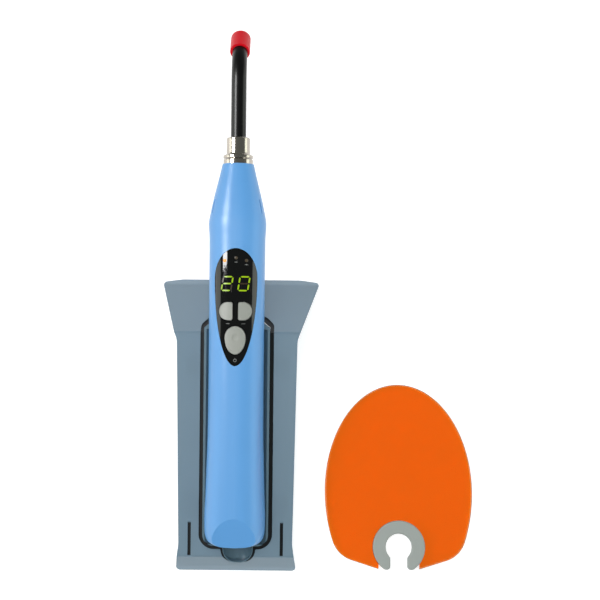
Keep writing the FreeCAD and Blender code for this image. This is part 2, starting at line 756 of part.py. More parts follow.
def sheet_line():
    """Front face of the bent sheet, from below the desk in front to below the desk behind."""
    front_edge = (FRONT_EDGE_Y, desk_z(FRONT_EDGE_Y))
    rear_edge = (REAR_EDGE_Y, desk_z(REAR_EDGE_Y))
    bend = (FRONT_BEND_Y, PANEL_Z)
    crease = (CREASE_Y, PANEL_Z)
    overrun = 0.4
    front = tuple(e + overrun * (e - b) for e, b in zip(front_edge, bend))
    rear = tuple(e + overrun * (e - c) for e, c in zip(rear_edge, crease))
    return [front, bend, crease, rear]


def sheet_layer(depth, thickness, bend_r, crease_r):
    """Layer of the bent sheet: it starts depth below the front face and is thickness thick."""
    top = sloped_line_offset(sheet_line(), depth)
    under = sloped_line_offset(sheet_line(), depth + thickness)
    inner_bend_r = max(bend_r - thickness, 0.4)
    corners = [
        (top[0][0], top[0][1], 0),
        (top[1][0], top[1][1], bend_r),
        (top[2][0], top[2][1], crease_r),
        (top[3][0], top[3][1], 0),
        (under[3][0], under[3][1], 0),
        (under[2][0], under[2][1], 0.4),
        (under[1][0], under[1][1], inner_bend_r),
        (under[0][0], under[0][1], 0),
    ]
    face = Part.Face(rounded_wire(corners, on_yz))
    solid = face.extrude(Vec(120, 0, 0))
    solid.translate(Vec(-60, 0, 0))
    return solid


def trough_wire(grow=0.0, tongue_grow=0.0):
    """Plan outline of the trough and its tongue, grown by a margin round each."""
    half = TROUGH_HALF + grow
    start_y = TROUGH_START_Y - grow
    corners = []
    for side in (1, -1):
        tongue_x = TONGUE_X + side * (TONGUE_HALF + tongue_grow)
        one_side = [
            (tongue_x, TONGUE_END_Y - tongue_grow, TONGUE_CORNER_R + tongue_grow),
            (tongue_x, start_y, 0.5),
            (side * half, start_y, TROUGH_CORNER_R + grow),
            (side * half, TROUGH_SHOULDER_Y + grow * 0.7, 1.0 + grow),
            (side * (half - 4.6), TROUGH_END_Y + grow, 2.0 + grow),
        ]
        corners += one_side if side > 0 else one_side[::-1]
    return rounded_wire(corners)


def ellipse_bar(half_width, half_depth, start_y, end_y):
    face = Part.Face(ellipse_wire(start_y, half_width, half_depth))
    return face.extrude(Vec(0, end_y - start_y, 0))


def make_trough():
    """Trough that the handpiece lies in, with a half-pipe tongue under its tail."""
    plan = prism(trough_wire(), -40, 20)
    gasket_under = PANEL_Z - GASKET_RECESS - GASKET_THICK
    rim = block(-40, 40, TROUGH_START_Y, 150, gasket_under, TROUGH_RIM_Z)
    skin = ellipse_bar(TROUGH_SKIN_HALF, -TROUGH_BOTTOM_Z, TROUGH_START_Y, 150)
    skin = skin.common(block(-40, 40, TROUGH_START_Y, 150, -40, TROUGH_RIM_Z))
    body = plan.common(fused([rim, skin]))
    mouth_y = TROUGH_SHOULDER_Y - TROUGH_END_WALL
    channel = ellipse_bar(TROUGH_CHANNEL_HALF, -TROUGH_FLOOR_Z, TROUGH_START_Y + TROUGH_END_WALL, mouth_y)
    mouth = ellipse_bar(TROUGH_MOUTH_HALF, -TROUGH_MOUTH_Z, mouth_y - 1, 150)
    body = body.cut(channel).cut(mouth)

    reach_y = TROUGH_START_Y + TROUGH_END_WALL
    tongue = plan.common(block(-40, 40, -40, reach_y, -40, TROUGH_RIM_Z))
    skin_r = TONGUE_HALF - TONGUE_RIM + TONGUE_SKIN
    tongue = tongue.common(rod_y(skin_r, -30, reach_y, TONGUE_X, TROUGH_RIM_Z))
    bowl_plan = rounded_wire([
        (TONGUE_X - TONGUE_HALF + TONGUE_RIM, TONGUE_END_Y + TONGUE_RIM, TONGUE_CORNER_R - TONGUE_RIM),
        (TONGUE_X + TONGUE_HALF - TONGUE_RIM, TONGUE_END_Y + TONGUE_RIM, TONGUE_CORNER_R - TONGUE_RIM),
        (TONGUE_X + TONGUE_HALF - TONGUE_RIM, 1.0, 0),
        (TONGUE_X - TONGUE_HALF + TONGUE_RIM, 1.0, 0),
    ])
    bowl = rod_y(TONGUE_HALF - TONGUE_RIM, -30, 1.0, TONGUE_X, TROUGH_RIM_Z)
    return fused([body, tongue]).cut(bowl.common(prism(bowl_plan, -40, 20)))


def make_stand():
    outline = rounded_wire(mirrored_corners([
        (FRONT_HALF, FRONT_EDGE_Y, 2.2),
        (WAIST_HALF, -1.0, 20.0),
        (CREASE_HALF, CREASE_Y - 4.0, 12.0),
        (REAR_HALF, REAR_EDGE_Y - REAR_CORNER_DROP, 1.8),
        (REAR_HALF - REAR_CORNER_ACROSS, REAR_EDGE_Y, 20.0),
    ]))
    slot = prism(trough_wire(GASKET_WIDTH, GASKET_TONGUE_WIDTH), -80, 20)
    shell = sheet_layer(0.0, SHEET, 1.4, 1.0).common(prism(outline, -80, 20)).cut(slot)
    for y in (FRONT_BEND_Y, CREASE_Y):
        shell = shell.cut(Part.makeCylinder(CREASE_LINE_R, 120, Vec(-60, y, PANEL_Z), Vec(1, 0, 0)))
    under = PANEL_Z - SHEET
    floor_z = PANEL_Z - GROOVE_DEPTH
    groove_face = Part.Face(rounded_wire([
        (GROOVE_TOP_Y, PANEL_Z + 1, 0),
        (GROOVE_TOP_Y, PANEL_Z - 0.2, 0),
        (GROOVE_TOP_Y - GROOVE_RAMP, floor_z, 0),
        (GROOVE_END_Y, floor_z, 0),
        (GROOVE_END_Y, PANEL_Z + 1, 0),
    ], on_yz))
    groove = groove_face.extrude(Vec(GROOVE_WIDTH, 0, 0))
    filled = groove.common(block(-5, 5, -50, 50, -40, PANEL_Z - INLAY_RECESS))
    inlays = []
    for side in (-1, 1):
        offset = Vec(side * GROOVE_X - GROOVE_WIDTH / 2, 0, 0)
        cutter = groove.copy()
        cutter.translate(offset)
        shell = shell.cut(cutter)
        inlay = filled.copy()
        inlay.translate(offset)
        inlays.append(inlay)

    gasket = sheet_layer(GASKET_RECESS, GASKET_THICK, 0.9, 0.5).common(slot)
    gasket = gasket.cut(prism(trough_wire(), -40, 20))
    trough = make_trough()
    screws = []
    for y in EAR_YS:
        for side in (-1, 1):
            x = side * EAR_SCREW_X
            near = side * EAR_INNER_X
            far = side * (EAR_SCREW_X + 4)
            ear = prism(rounded_wire([
                (near, y - 6, 0), (far, y - 6, 2.5), (far, y + 6, 2.5), (near, y + 6, 0),
            ]), under - EAR_THICK, under)
            trough = trough.fuse(ear).cut(rod_z(1.4, -30, 0, x, y))
            shell = shell.cut(rod_z(EAR_SCREW_R, under - 1, under + 1.9, x, y))
            shank = rod_z(EAR_SCREW_R, under - EAR_THICK, under + 1.9, x, y)
            head = rod_z(EAR_HEAD_R, under - EAR_THICK - 1.6, under - EAR_THICK, x, y)
            recess = rod_z(1.0, under - EAR_THICK - 1.6, under - EAR_THICK - 0.6, x, y)
            screws.append(fused([shank, head]).cut(recess))
    return {
        "stand_shell": shell,
        "cradle_trough": trough.removeSplitter(),
        "trough_gasket": gasket,
        "groove_inlays": Part.makeCompound(inlays),
        "trough_screws": Part.makeCompound(screws),
    }


def front_foot_middle():
    """Row-frame y, before centring, of the middle of the strip where the front flange meets the desk."""
    tilt = math.radians(RECLINE)
    top = sheet_line()
    under = sloped_line_offset(top, SHEET)
    crossings = []
    for line in (top, under):
        (y0, z0), (y1, z1) = line[0], line[1]
        h0 = to_desk(y0, z0)
        h1 = to_desk(y1, z1)
        part = h0 / (h0 - h1)
        y = y0 + (y1 - y0) * part
        z = z0 + (z1 - z0) * part
        crossings.append(y * math.cos(tilt) - z * math.sin(tilt))
    return sum(crossings) / 2


# ---------------------------------------------------------------- light shield (row frame)
def shield_wire(shrink, z):
    """Plate outline at height z: half an ellipse above the widest line, arced sides running in below it,
    rounded lower corners, and two lower edges that slope down to the middle."""
    slope = math.radians(SHIELD_BASE_SLOPE)
    side_centre = Vec(SHIELD_HALF - SHIELD_SIDE_R, SHIELD_WIDEST_Y, 0)
    along = Vec(math.cos(slope), math.sin(slope), 0)
    inward = Vec(-math.sin(slope), math.cos(slope), 0)
    foot = Vec(0, SHIELD_BASE_Y, 0) + inward * SHIELD_CORNER_R - side_centre
    middle = foot.dot(along)
    reach = SHIELD_SIDE_R - SHIELD_CORNER_R
    run = -middle + math.sqrt(middle ** 2 - foot.dot(foot) + reach ** 2)
    corner = side_centre + foot + along * run
    corner_r = SHIELD_CORNER_R - shrink
    to_side = (corner - side_centre).normalize()
    from_base = inward * -1
    halfway = (to_side + from_base).normalize()
    base_middle = Vec(0, SHIELD_BASE_Y + shrink / math.cos(slope), 0)
    base_end = corner + from_base * corner_r
    side_end = corner + to_side * corner_r
    side_r = SHIELD_SIDE_R - shrink
    side_angle = math.atan2(to_side.y, to_side.x)
    side_middle = side_centre + Vec(math.cos(side_angle / 2), math.sin(side_angle / 2), 0) * side_r
    widest = Vec(SHIELD_HALF - shrink, SHIELD_WIDEST_Y, 0)
    up = SHIELD_TOP_Y - SHIELD_WIDEST_Y - shrink
    centre = Vec(0, SHIELD_WIDEST_Y, 0)
    crown = Part.Ellipse(Vec(0, SHIELD_WIDEST_Y + up, 0), Vec(-widest.x, SHIELD_WIDEST_Y, 0), centre)
    right = [
        Part.LineSegment(base_middle, base_end).toShape(),
        Part.Arc(base_end, corner + halfway * corner_r, side_end).toShape(),
        Part.Arc(side_end, side_middle, widest).toShape(),
    ]
    left = [mirrored_x(edge) for edge in right]
    wire = Part.Wire(Part.__sortEdges__(right + left + [crown.toShape(-math.pi / 2, math.pi / 2)]))
    wire.translate(Vec(0, 0, z))
    return wire


def make_shield():
    low = (CLIP_THICK - SHIELD_THICK) / 2
    high = low + SHIELD_THICK
    middle = prism(shield_wire(0.0, 0.0), low + SHIELD_EDGE, high - SHIELD_EDGE)
    lower = Part.makeLoft([shield_wire(SHIELD_EDGE, low), shield_wire(0.0, low + SHIELD_EDGE)], True)
    upper = Part.makeLoft([shield_wire(0.0, high - SHIELD_EDGE), shield_wire(SHIELD_EDGE, high)], True)
    plate = fused([middle, lower, upper])
    web_mouth = block(-CLIP_WEB_R, CLIP_WEB_R, SHIELD_BASE_Y - 30, CLIP_Y, -5, 20)
    plate = plate.cut(fused([rod_z(CLIP_WEB_R, -5, 20, 0, CLIP_Y), web_mouth]))

    mouth = block(-CLIP_MOUTH / 2, CLIP_MOUTH / 2, CLIP_LIP_Y - 30, CLIP_Y, -5, 20)
    beyond_lips = block(-30, 30, CLIP_LIP_Y - 30, CLIP_LIP_Y, -5, 20)
    bore = rod_z(CLIP_BORE_R, -5, 20, 0, CLIP_Y)
    clip = rod_z(CLIP_R, 0, CLIP_THICK, 0, CLIP_Y).cut(fused([bore, mouth, beyond_lips]))
    uprights = [e for e in clip.Edges if e.BoundBox.ZLength > 1 and e.BoundBox.XLength < 0.01]
    lips = [e for e in uprights if e.BoundBox.YMax < CLIP_LIP_Y + 0.01]
    clip = clip.makeFillet(CLIP_LIP_R, lips)
    uprights = [e for e in clip.Edges if e.BoundBox.ZLength > 1 and e.BoundBox.XLength < 0.01]
    between = [e for e in uprights if CLIP_LIP_Y + 3 < e.BoundBox.YMax < CLIP_Y - 1]
    necks = [e for e in between if abs(e.BoundBox.XMax) < 6]
    clip = clip.makeFillet(CLIP_NECK_R, necks)
    rims = [e for e in clip.Edges if e.BoundBox.ZLength < 0.01]
    clip = clip.makeFillet(CLIP_RIM_R, rims)
    clip = clip.cut(plate)
    shield = {"shield_plate": plate, "shield_clip": clip}
    for shape in shield.values():
        shape.translate(Vec(SHIELD_X, 0, 0))
    return shield


# ---------------------------------------------------------------- assembly
def main():
    outer = casing_loft(0.0)
    inner = casing_loft(WALL, TAIL_WALL, NOSE_Y + 3)
    nodes = {}
    nodes["front_casing"], nodes["rear_casing"] = make_casings(outer, inner)
    nodes["display_lens"] = make_lens(outer, inner)
    nodes.update(make_keys(outer))
    nodes.update(make_board_parts())
    nodes.update(make_power_parts(inner))
    nodes["casing_screws"] = make_casing_screws()
    nodes.update(make_light_engine(inner))
    nodes["internal_leads"] = make_leads()
    nodes.update(make_guide())
    nodes.update(make_stand())

    tip_up = FreeCAD.Rotation(Vec(1, 0, 0), RECLINE)
    recline = FreeCAD.Placement(Vec(0, -front_foot_middle(), TAIL_HEIGHT), tip_up)
    for name, shape in nodes.items():
        shape.Placement = recline.multiply(shape.Placement)
    below_desk = block(-100, 100, -100, 250, -100, 0)
    nodes["stand_shell"] = nodes["stand_shell"].cut(below_desk)
    nodes.update(make_shield())

    os.makedirs("parts", exist_ok=True)
    for name, shape in nodes.items():
        shape.exportStep("parts/%s.step" % name)
        box = shape.BoundBox
        print("%-18s solids %2d valid %s volume %9.1f  x %.1f..%.1f  y %.1f..%.1f  z %.1f..%.1f" % (
            name, len(shape.Solids), shape.isValid(), shape.Volume,
            box.XMin, box.XMax, box.YMin, box.YMax, box.ZMin, box.ZMax))
    print("front foot middle moved to y = 0 from y = %.3f" % front_foot_middle())


main()
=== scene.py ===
import json
import math

import bmesh
import bpy
from mathutils import Matrix, Vector
from mathutils.bvhtree import BVHTree


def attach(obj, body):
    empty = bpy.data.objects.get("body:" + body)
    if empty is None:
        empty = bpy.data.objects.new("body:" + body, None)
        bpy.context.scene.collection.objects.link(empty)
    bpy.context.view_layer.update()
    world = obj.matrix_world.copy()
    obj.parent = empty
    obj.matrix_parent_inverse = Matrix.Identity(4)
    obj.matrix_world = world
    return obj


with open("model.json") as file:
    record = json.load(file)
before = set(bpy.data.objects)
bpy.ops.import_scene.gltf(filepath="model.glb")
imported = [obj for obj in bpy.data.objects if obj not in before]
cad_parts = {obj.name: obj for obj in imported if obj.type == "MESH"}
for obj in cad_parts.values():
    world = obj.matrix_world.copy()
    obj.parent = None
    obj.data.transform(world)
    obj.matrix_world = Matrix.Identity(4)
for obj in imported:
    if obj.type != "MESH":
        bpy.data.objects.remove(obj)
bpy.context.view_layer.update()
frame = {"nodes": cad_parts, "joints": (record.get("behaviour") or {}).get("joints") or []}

MM = 0.001

# ------------------------------------------------------------------ the handpiece's own axes
JOINTS = {joint["name"]: joint for joint in frame["joints"]}
ALONG = Vector(JOINTS["guide_turn"]["axis"]).normalized()     # tail to head
OUT = Vector(JOINTS["handpiece_lift"]["axis"]).normalized()   # out of the control panel
ACROSS = Vector((1, 0, 0))
TURN_SEAT = 197.4                                             # mm from the tail to the guide's turn joint
TAIL = Vector(JOINTS["guide_turn"]["pos_m"]) - ALONG * TURN_SEAT * MM


def place(x, y, z=0.0):
    """Row-frame point from millimetres across, along and out of the handpiece."""
    return TAIL + (ACROSS * x + ALONG * y + OUT * z) * MM


# ------------------------------------------------------------------ camera, lights and floor
CAMERA_DISTANCE = 632.0
CAMERA_AIM = (33.25, 130.0)
CAMERA_LENS = 72.0
CAMERA_ROLL = math.radians(0.58)
LIGHT_AIM = (20.0, 120.0)
HORIZON_LIGHT = 0.3
OVERHEAD_LIGHT = 0.17
PANEL_SIZE = (1.1, 0.34)                                      # metres
FILL_SIZE = (0.6, 0.6)
FLOOR_HALF = 4.0


def make_camera():
    data = bpy.data.cameras.new("camera")
    data.lens = CAMERA_LENS
    data.sensor_width = 36.0
    data.clip_start = 0.01
    data.clip_end = 20.0
    camera = bpy.data.objects.new("camera", data)
    bpy.context.scene.collection.objects.link(camera)
    camera.location = place(*CAMERA_AIM, CAMERA_DISTANCE)
    axes = Matrix((ACROSS, ALONG, OUT)).transposed()
    camera.rotation_euler = (axes @ Matrix.Rotation(CAMERA_ROLL, 3, "Z")).to_euler()
    bpy.context.scene.camera = camera


def softbox(name, location, size, power, tint=(1.0, 1.0, 1.0), reflected=True, lighting=True):
    """Area light aimed at the object. With reflected off, glossy and clear materials don't show it; with
    lighting off, only they do."""
    data = bpy.data.lights.new(name, "AREA")
    data.shape = "RECTANGLE"
    data.size, data.size_y = size
    data.energy = power
    data.color = tint
    light = bpy.data.objects.new(name, data)
    bpy.context.scene.collection.objects.link(light)
    light.location = location
    light.rotation_euler = (place(*LIGHT_AIM) - light.location).to_track_quat("-Z", "Y").to_euler()
    light.visible_glossy = reflected
    light.visible_transmission = reflected
    light.visible_diffuse = lighting


def studio_world():
    """Dim room: darker overhead, lighter towards the horizon."""
    world = bpy.data.worlds.new("studio")
    world.use_nodes = True
    tree = world.node_tree
    direction = tree.nodes.new("ShaderNodeTexCoord")
    split = tree.nodes.new("ShaderNodeSeparateXYZ")
    height = tree.nodes.new("ShaderNodeMapRange")
    height.inputs["From Min"].default_value = 0.05
    height.inputs["From Max"].default_value = 0.6
    height.inputs["To Min"].default_value = HORIZON_LIGHT
    height.inputs["To Max"].default_value = OVERHEAD_LIGHT
    tree.links.new(direction.outputs["Generated"], split.inputs["Vector"])
    tree.links.new(split.outputs["Z"], height.inputs["Value"])
    background = tree.nodes["Background"]
    background.inputs["Color"].default_value = (0.92, 1.0, 0.95, 1.0)
    tree.links.new(height.outputs["Result"], background.inputs["Strength"])
    return world


def make_stage():
    scene = bpy.context.scene
    scene.view_settings.view_transform = "Standard"
    scene.view_settings.look = "None"
    scene.world = studio_world()
    softbox("key_window", place(-610, 366, 560), (0.42, 0.28), 8.0, lighting=False)
    softbox("left_panel", place(-740, 60, 150), PANEL_SIZE, 2.2, (0.97, 1.0, 0.94), lighting=False)
    softbox("right_panel", place(760, 60, 150), PANEL_SIZE, 2.4, (0.93, 1.0, 0.90), lighting=False)
    softbox("left_fill", place(-480, 160, 480), FILL_SIZE, 1.3, reflected=False)
    softbox("right_fill", place(520, 140, 430), FILL_SIZE, 0.8, (0.9, 1.0, 0.95), reflected=False)
    softbox("front_fill", place(-40, 230, 760), FILL_SIZE, 4.2, reflected=False)

    mesh = bpy.data.meshes.new("floor")
    corners = [(x * FLOOR_HALF, y * FLOOR_HALF, 0) for x, y in ((-1, -1), (1, -1), (1, 1), (-1, 1))]
    mesh.from_pydata(corners, [], [(0, 1, 2, 3)])
    floor = bpy.data.objects.new("floor", mesh)
    scene.collection.objects.link(floor)
    paper, tree, shader = new_material("lit_white_table")
    vary_colour(tree, shader, (200, 200, 200), noise(tree, 20.0), 0.01)
    shader.inputs["Roughness"].default_value = 0.8
    shader.inputs["Emission Color"].default_value = (1.0, 1.0, 1.0, 1.0)
    shader.inputs["Emission Strength"].default_value = 0.7
    mesh.materials.append(paper)


# ------------------------------------------------------------------ materials
GRAIN_SCALE = 3000.0       # cycles per metre
TOOL_MARK_SCALE = 2500.0
TOOL_MARK_DEPTH = 0.000003
RIPPLE_DEPTH = 0.00001


def linear(rgb):
    """Linear colour from 0 to 255 display values."""
    return tuple(((c / 255 + 0.055) / 1.055) ** 2.4 if c > 10 else c / 255 / 12.92 for c in rgb) + (1.0,)


def new_material(name):
    """Node material, with its tree and its Principled shader."""
    material = bpy.data.materials.new(name)
    material.use_nodes = True
    tree = material.node_tree
    shader = tree.nodes["Principled BSDF"]
    return material, tree, shader


def noise(tree, scale, detail=2.0, stretch=(1.0, 1.0, 1.0)):
    """Noise value in the object's own coordinates; scale is cycles per metre."""
    position = tree.nodes.new("ShaderNodeTexCoord")
    mapping = tree.nodes.new("ShaderNodeMapping")
    mapping.inputs["Scale"].default_value = stretch
    texture = tree.nodes.new("ShaderNodeTexNoise")
    texture.inputs["Scale"].default_value = scale
    texture.inputs["Detail"].default_value = detail
    tree.links.new(position.outputs["Object"], mapping.inputs["Vector"])
    tree.links.new(mapping.outputs["Vector"], texture.inputs["Vector"])
    return texture.outputs["Fac"]


def ramp(tree, value, low, high):
    """Value from 0..1 mapped to low..high."""
    node = tree.nodes.new("ShaderNodeMapRange")
    node.inputs["To Min"].default_value = low
    node.inputs["To Max"].default_value = high
    tree.links.new(value, node.inputs["Value"])
    return node.outputs["Result"]


def vary_colour(tree, shader, rgb, value, amount):
    """Base colour that drifts by amount either side of rgb."""
    mix = tree.nodes.new("ShaderNodeMix")
    mix.data_type = "RGBA"
    base = linear(rgb)
    mix.inputs["A"].default_value = tuple(c * (1 - amount) for c in base[:3]) + (1.0,)
    mix.inputs["B"].default_value = tuple(min(1.0, c * (1 + amount)) for c in base[:3]) + (1.0,)
    tree.links.new(value, mix.inputs["Factor"])
    tree.links.new(mix.outputs["Result"], shader.inputs["Base Color"])


def bump(tree, shader, value, distance):
    node = tree.nodes.new("ShaderNodeBump")
    node.inputs["Distance"].default_value = distance
    node.inputs["Strength"].default_value = 1.0
    tree.links.new(value, node.inputs["Height"])
    tree.links.new(node.outputs["Normal"], shader.inputs["Normal"])


def plastic(name, rgb, roughness, grain=0.00002, drift=0.04, transmission=0.0, subsurface=0.0, specular=0.5):
    """Moulded plastic or rubber: slow colour drift, uneven polish and a fine grain, in metres."""
    material, tree, shader = new_material(name)
    vary_colour(tree, shader, rgb, noise(tree, 45.0, 3.0), drift)
    smudge = noise(tree, 140.0, 4.0)
    tree.links.new(ramp(tree, smudge, roughness * 0.88, roughness * 1.12), shader.inputs["Roughness"])
    shader.inputs["Transmission Weight"].default_value = transmission
    shader.inputs["Subsurface Weight"].default_value = subsurface
    shader.inputs["Subsurface Scale"].default_value = 0.002
    shader.inputs["Specular IOR Level"].default_value = specular
    if grain > 0:
        bump(tree, shader, noise(tree, GRAIN_SCALE), grain)
    return material


def metal(name, rgb, roughness, stretch=(1.0, 1.0, 1.0)):
    """Plated or machined metal with fine tool marks drawn out by stretch."""
    material, tree, shader = new_material(name)
    vary_colour(tree, shader, rgb, noise(tree, 120.0, 2.0), 0.03)
    shader.inputs["Metallic"].default_value = 1.0
    marks = noise(tree, TOOL_MARK_SCALE, 3.0, stretch)
    tree.links.new(ramp(tree, marks, roughness * 0.7, roughness * 1.3), shader.inputs["Roughness"])
    bump(tree, shader, marks, TOOL_MARK_DEPTH)
    return material


def clear(name, rgb, roughness, ior=1.49, painted_edge_glow_rgb=None, specular=0.5):
    """Clear moulded sheet or glass: colour from transmission, faint surface ripple; a flat sheet may
    have a painted edge glow: a lighter colour painted on its faces that turn away from the horizontal,
    standing in for light piped out at its edges."""
    material, tree, shader = new_material(name)
    vary_colour(tree, shader, rgb, noise(tree, 60.0, 2.0), 0.015)
    # painted edge glow: a lighter colour painted on the sheet's steep faces, standing in for light piped out
    # at its edges
    if painted_edge_glow_rgb:
        geometry = tree.nodes.new("ShaderNodeNewGeometry")
        split = tree.nodes.new("ShaderNodeSeparateXYZ")
        steepness = tree.nodes.new("ShaderNodeMath")
        steepness.operation = "ABSOLUTE"
        tree.links.new(geometry.outputs["True Normal"], split.inputs["Vector"])
        tree.links.new(split.outputs["Z"], steepness.inputs[0])
        mix = tree.nodes.new("ShaderNodeMix")
        mix.data_type = "RGBA"
        mix.inputs["A"].default_value = linear(painted_edge_glow_rgb)
        tree.links.new(ramp(tree, steepness.outputs["Value"], -4.0, 1.0), mix.inputs["Factor"])
        tree.links.new(shader.inputs["Base Color"].links[0].from_socket, mix.inputs["B"])
        tree.links.new(mix.outputs["Result"], shader.inputs["Base Color"])
    shader.inputs["Transmission Weight"].default_value = 1.0
    shader.inputs["IOR"].default_value = ior
    shader.inputs["Specular IOR Level"].default_value = specular
    smudge = noise(tree, 90.0, 3.0)
    tree.links.new(ramp(tree, smudge, roughness * 0.6, roughness * 1.4), shader.inputs["Roughness"])
    bump(tree, shader, noise(tree, 35.0, 1.0), RIPPLE_DEPTH)
    return material


def glow(name, rgb, strength):
    """Lit lamp or display segment, with a slight unevenness in its light."""
    material, tree, shader = new_material(name)
    shader.inputs["Base Color"].default_value = linear((20, 20, 10))
    shader.inputs["Roughness"].default_value = 0.25
    shader.inputs["Emission Color"].default_value = linear(rgb)
    uneven = noise(tree, 900.0, 1.0)
    tree.links.new(ramp(tree, uneven, strength * 0.9, strength * 1.1), shader.inputs["Emission Strength"])
    return material


def dress(material, *nodes):
    """Gives CAD nodes their material."""
    for name in nodes:
        node = frame["nodes"][name]
        node.data.materials.clear()
        node.data.materials.append(material)


def dress_handpiece():
    blue = plastic("satin_blue_plastic", (97, 163, 226), 0.33, grain=0.000012, drift=0.02)
    dress(blue, "front_casing", "rear_casing")
    lens = plastic("polished_black_window", (7, 7, 8), 0.04, grain=0.0)
    dress(lens, "display_lens")
    keys = plastic("satin_grey_keys", (155, 157, 150), 0.42)
    dress(keys, "mode_button", "time_button", "power_button")
    dress(metal("polished_plate", (184, 176, 166), 0.16, (0.4, 6.0, 6.0)), "head_ring", "guide_ferrule")
    dress(plastic("polished_black_sheath", (8, 8, 9), 0.3, grain=0.000002, specular=0.3), "guide_sheath")
    dress(plastic("red_silicone", (224, 12, 32), 0.42, subsurface=0.06, specular=0.25), "tip_cap")
    dress(clear("fibre_rod_glass", (225, 235, 250), 0.05, 1.52), "guide_rod")
    dress(plastic("green_board", (18, 92, 48), 0.4), "circuit_board")
    dress(plastic("black_moulding", (24, 24, 25), 0.45), "tact_switches", "buzzer", "charging_socket")
    dress(plastic("chip_moulding", (34, 34, 36), 0.5), "board_components")
    dress(plastic("display_block", (60, 52, 36), 0.35), "digit_display")
    dress(plastic("amber_epoxy", (240, 150, 40), 0.2, transmission=0.3), "status_leds")
    dress(plastic("cell_wrap", (30, 110, 140), 0.3), "battery_cell")
    dress(plastic("natural_moulding", (225, 225, 220), 0.45), "battery_cradle")
    dress(plastic("led_board_mask", (238, 238, 236), 0.4), "led_board")
    dress(plastic("led_phosphor", (225, 205, 90), 0.2, transmission=0.3), "led_emitter")
    dress(plastic("lead_insulation", (150, 24, 20), 0.45), "internal_leads")
    zinc = metal("zinc_plate", (196, 196, 200), 0.3)
    dress(zinc, "board_screws", "casing_screws", "retaining_ring", "trough_screws")
    dress(metal("nickel_plate", (214, 206, 190), 0.22), "battery_contacts")
    dress(metal("machined_aluminium", (206, 208, 212), 0.34, (1.0, 8.0, 8.0)), "heat_sink")
    dress(metal("mirror_plate", (240, 240, 242), 0.06), "reflector_cup")
    dress(clear("ground_glass_lens", (240, 246, 252), 0.03, 1.52), "collimator_lens")


def dress_stand():
    smoke = plastic("smoky_plastic", (126, 150, 166), 0.22, grain=0.000008, drift=0.03, transmission=0.2)
    dress(smoke, "stand_shell")
    # darker copy of the stand's smoky plastic: painted shade for the sunken trough
    trough = plastic("smoky_plastic_painted_shade", (102, 128, 140), 0.26, grain=0.000008, drift=0.03,
                     transmission=0.1)
    dress(trough, "cradle_trough")
    # black filler in the gap round the trough and in the stand's grooves: painted shade, a dark piece where
    # the gap and grooves only fall into shadow
    dress(plastic("black_painted_shade_filler", (16, 17, 19), 0.6, grain=0.00003), "trough_gasket", "groove_inlays")


def dress_shield():
    # the lighter edge colour is a painted edge glow, standing in for light piped out at the sheet's edges
    sheet = clear("orange_filter_sheet", (246, 110, 0), 0.06, painted_edge_glow_rgb=(244, 150, 30), specular=0.06)
    dress(sheet, "shield_plate")
    dress(plastic("grey_elastomer", (158, 164, 160), 0.5, grain=0.00003), "shield_clip")


# ------------------------------------------------------------------ marks on the control panel
PROBE_HEIGHT = 60.0        # above the handpiece's axis, clear of everything


def panel_surface():
    """Function giving the row-frame point on the panel at (x, y), lifted along the handpiece's out axis."""
    faces = []
    vertices = []
    for name in ("display_lens", "front_casing"):
        mesh = frame["nodes"][name].data
        start = len(vertices)
        vertices.extend(v.co.copy() for v in mesh.vertices)
        faces.extend([start + i for i in polygon.vertices] for polygon in mesh.polygons)
    tree = BVHTree.FromPolygons(vertices, faces)

    def at(x, y, lift):
        hit, normal, _, _ = tree.ray_cast(place(x, y, PROBE_HEIGHT), -OUT)
        return hit + OUT * lift * MM
    return at


def ribbon(vertices, faces, surface, path, widths, lift, thick):
    """Adds a closed strip that follows path on the panel; widths has its half-width at each point."""
    start = len(vertices)
    count = len(path)
    for i, (x, y) in enumerate(path):
        before = Vector(path[max(i - 1, 0)])
        after = Vector(path[min(i + 1, count - 1)])
        along = (after - before).normalized()
        side = Vector((-along.y, along.x)) * widths[i]
        for sign in (-1, 1):
            for height in (lift, lift + thick):
                vertices.append(surface(x + sign * side.x, y + sign * side.y, height))
    for i in range(count - 1):
        a = start + 4 * i
        b = a + 4
        faces.append((a + 1, b + 1, b + 3, a + 3))
        faces.append((a, a + 2, b + 2, b))
        faces.append((a, b, b + 1, a + 1))
        faces.append((a + 2, a + 3, b + 3, b + 2))
    end = start + 4 * (count - 1)
    faces.append((start, start + 1, start + 3, start + 2))
    faces.append((end, end + 2, end + 3, end + 1))


def straight(start, end, steps=6):
    return [tuple(Vector(start).lerp(Vector(end), i / steps)) for i in range(steps + 1)]


def ring_path(x, y, radius, start=0.0, end=360.0, steps=24):
    angles = [math.radians(start + (end - start) * i / steps) for i in range(steps + 1)]
    return [(x + radius * math.cos(a), y + radius * math.sin(a)) for a in angles]


def mesh_piece(name, vertices, faces, material, body):
    mesh = bpy.data.meshes.new(name)
    mesh.from_pydata(vertices, [], faces)
    mesh.materials.append(material)
    piece = bpy.data.objects.new(name, mesh)
    bpy.context.scene.collection.objects.link(piece)
    work = bmesh.new()
    work.from_mesh(mesh)
    bmesh.ops.recalc_face_normals(work, faces=work.faces)
    work.to_mesh(mesh)
    work.free()
    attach(piece, body)
    return piece


